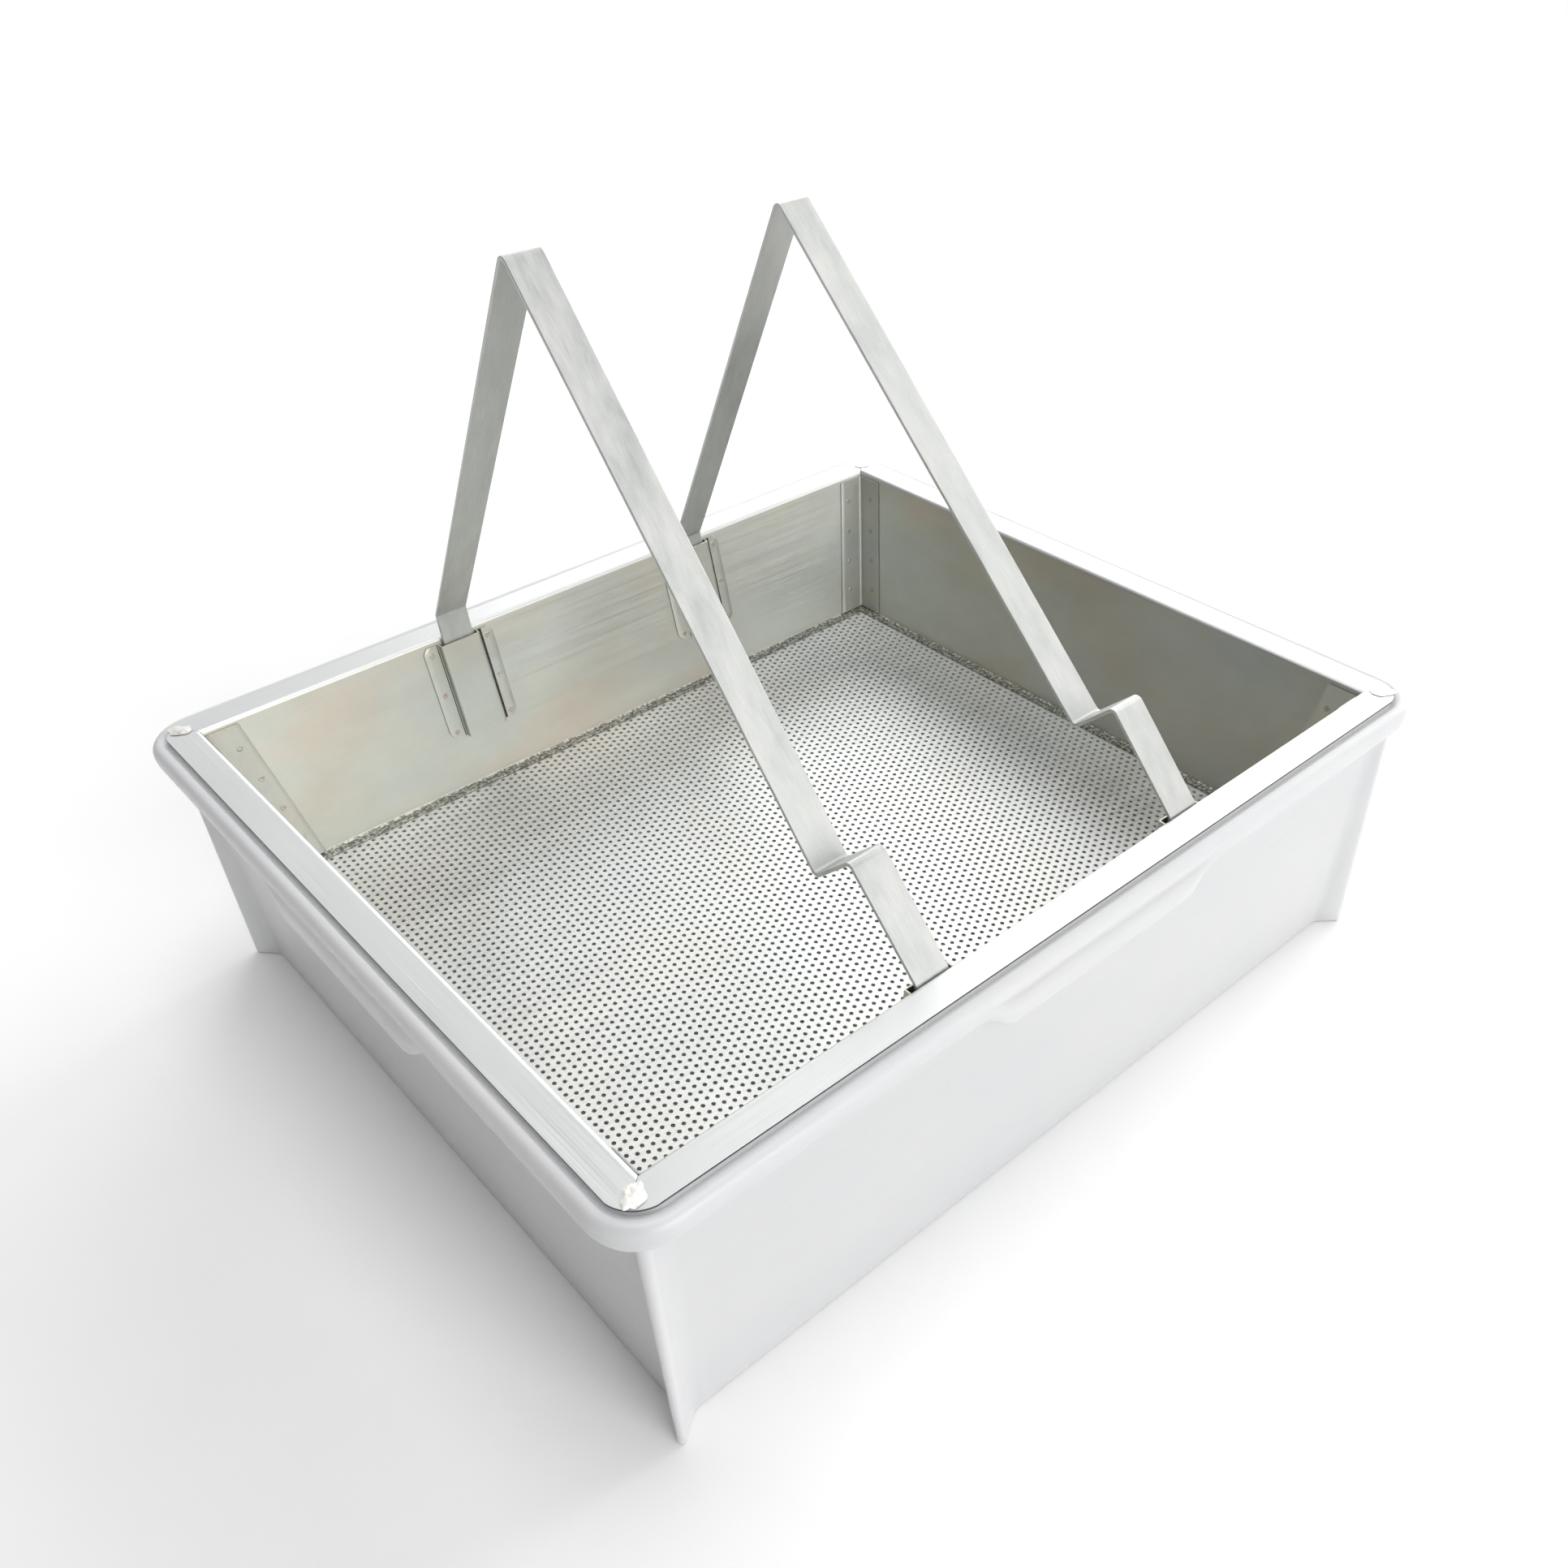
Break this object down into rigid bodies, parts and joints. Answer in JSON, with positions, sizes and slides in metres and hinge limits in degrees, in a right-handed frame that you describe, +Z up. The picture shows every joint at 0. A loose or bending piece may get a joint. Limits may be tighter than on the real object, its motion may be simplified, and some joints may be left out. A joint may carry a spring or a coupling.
{
  "type": "double sieve strainer",
  "caption": "Honey uncapping strainer: plastic tub with a rolled rim and corner legs, a stainless sieve basket hung in it by its flange, and lift-out bent-strip frame rests.",
  "frame": {"origin": "on the ground under the centre of the tub", "axes": "+X along the long sides, -Y is the front long side where the rests have their short legs, +Z up"},
  "size_m": [0.521, 0.451, 0.3985],
  "materials": {
    "white_plastic": "moulded, satin",
    "sheet_steel": "mill finish stainless sheet",
    "perforated_steel": "punched stainless sheet",
    "strip_steel": "rolled flat stainless strip",
    "weld_steel": "rough weld metal, heat tinted"
  },
  "bodies": {
    "tub": {"tub": "white_plastic"},
    "sieve_basket": {"basket_wall_front": "sheet_steel", "basket_wall_back": "sheet_steel", "basket_wall_left": "sheet_steel", "basket_wall_right": "sheet_steel", "perforated_floor": "perforated_steel", "corner_angle_front_left": "sheet_steel", "corner_angle_back_left": "sheet_steel", "corner_angle_front_right": "sheet_steel", "corner_angle_back_right": "sheet_steel", "rest_pocket_front_left": "sheet_steel", "rest_pocket_back_left": "sheet_steel", "rest_pocket_front_right": "sheet_steel", "rest_pocket_back_right": "sheet_steel", "corner_weld_front_left": "weld_steel", "corner_weld_back_left": "weld_steel", "corner_weld_front_right": "weld_steel", "corner_weld_back_right": "weld_steel"},
    "rest_left": {"frame_rest_left": "strip_steel"},
    "rest_right": {"frame_rest_right": "strip_steel"}
  },
  "joints": [
    {"name": "basket_lift", "type": "slide", "parent": "tub", "child": "sieve_basket", "axis": [0, 0, 1], "range_m": [0, 0.13]},
    {"name": "rest_left_lift", "type": "slide", "parent": "sieve_basket", "child": "rest_left", "axis": [0, 0, 1], "range_m": [0, 0.1]},
    {"name": "rest_right_lift", "type": "slide", "parent": "sieve_basket", "child": "rest_right", "axis": [0, 0, 1], "range_m": [0, 0.1]}
  ]
}
